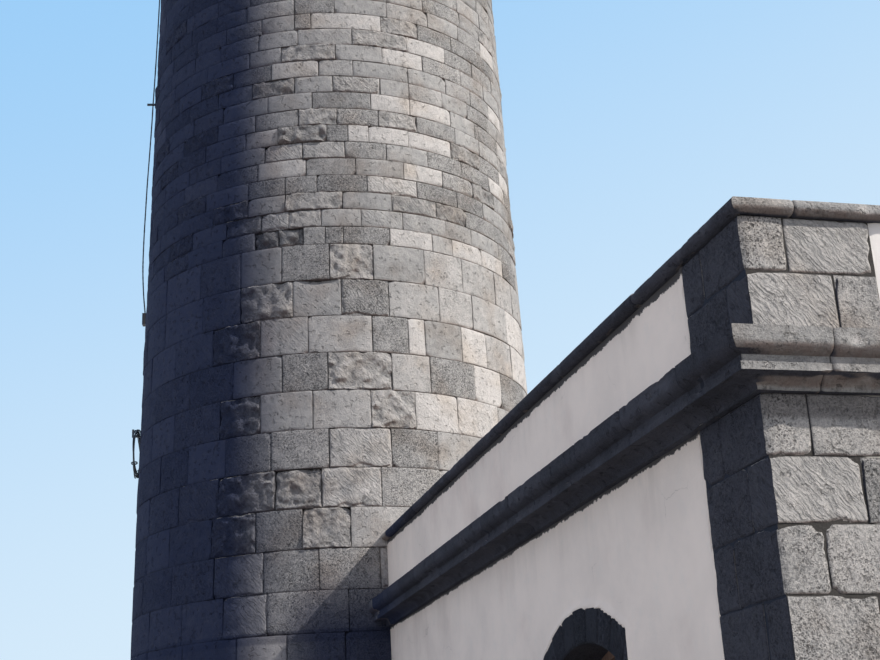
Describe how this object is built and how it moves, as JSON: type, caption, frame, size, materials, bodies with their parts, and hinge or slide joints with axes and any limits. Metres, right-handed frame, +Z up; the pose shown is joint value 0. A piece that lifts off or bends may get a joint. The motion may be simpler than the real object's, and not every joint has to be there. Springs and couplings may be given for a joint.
{
  "type": "lighthouse",
  "caption": "Round battered stone lighthouse tower standing half inside the front of a flat-roofed, parapeted keepers' house, with gallery and glazed lantern.",
  "frame": {"origin": "on the tower's axis at ground level", "axes": "+Z up, the house front faces -Y, +X to the right as seen from the front"},
  "size_m": [27.922, 15.339, 36.311],
  "materials": {
    "basalt": "dressed dark basalt, tooled and pitted",
    "flagstone": "worn stone paving",
    "lime_plaster": "matt lime plaster, stained",
    "oiled_timber": "weathered brown varnish",
    "window_glass": "clear",
    "painted_iron": "gloss paint, weathered",
    "limewash": "matt limewash",
    "copper_sheet": "patinated copper sheet",
    "galvanised_cable": "weathered stranded cable",
    "wrought_iron": "dull, rusting"
  },
  "bodies": {
    "root": {"tower_plinth": "basalt", "tower_floor": "flagstone", "lower_shaft_right": "basalt", "lower_shaft_rear": "basalt", "lower_shaft_left": "basalt", "lower_shaft_front": "basalt", "upper_shaft_right": "basalt", "upper_shaft_rear": "basalt", "upper_shaft_left": "basalt", "upper_shaft_front": "basalt", "shaft_window_frames": "oiled_timber", "gallery_cornice": "basalt", "gallery_corbels": "basalt", "gallery_floor": "basalt", "gallery_railing": "painted_iron", "watch_room_wall": "limewash", "watch_room_door": "painted_iron", "lantern_floor": "limewash", "lantern_base": "painted_iron", "lantern_frame": "painted_iron", "lantern_glass": "window_glass", "lantern_roof": "copper_sheet", "roof_finial": "copper_sheet", "plinth_long": "basalt", "plinth_ends": "basalt", "house_floor": "flagstone", "front_wall": "lime_plaster", "rear_wall": "lime_plaster", "end_walls": "lime_plaster", "corner_stones": "basalt", "window_surrounds": "basalt", "window_frames": "oiled_timber", "window_glass": "window_glass", "entrance_surround": "basalt", "entrance_door": "oiled_timber", "entrance_steps": "basalt", "roof_slab": "flagstone", "cornice_long": "basalt", "cornice_ends": "basalt", "parapet_long": "lime_plaster", "parapet_ends": "lime_plaster", "coping_long": "basalt", "coping_ends": "basalt", "conductor_cable": "galvanised_cable", "conductor_brackets": "wrought_iron", "spare_coil": "galvanised_cable"}
  },
  "joints": []
}
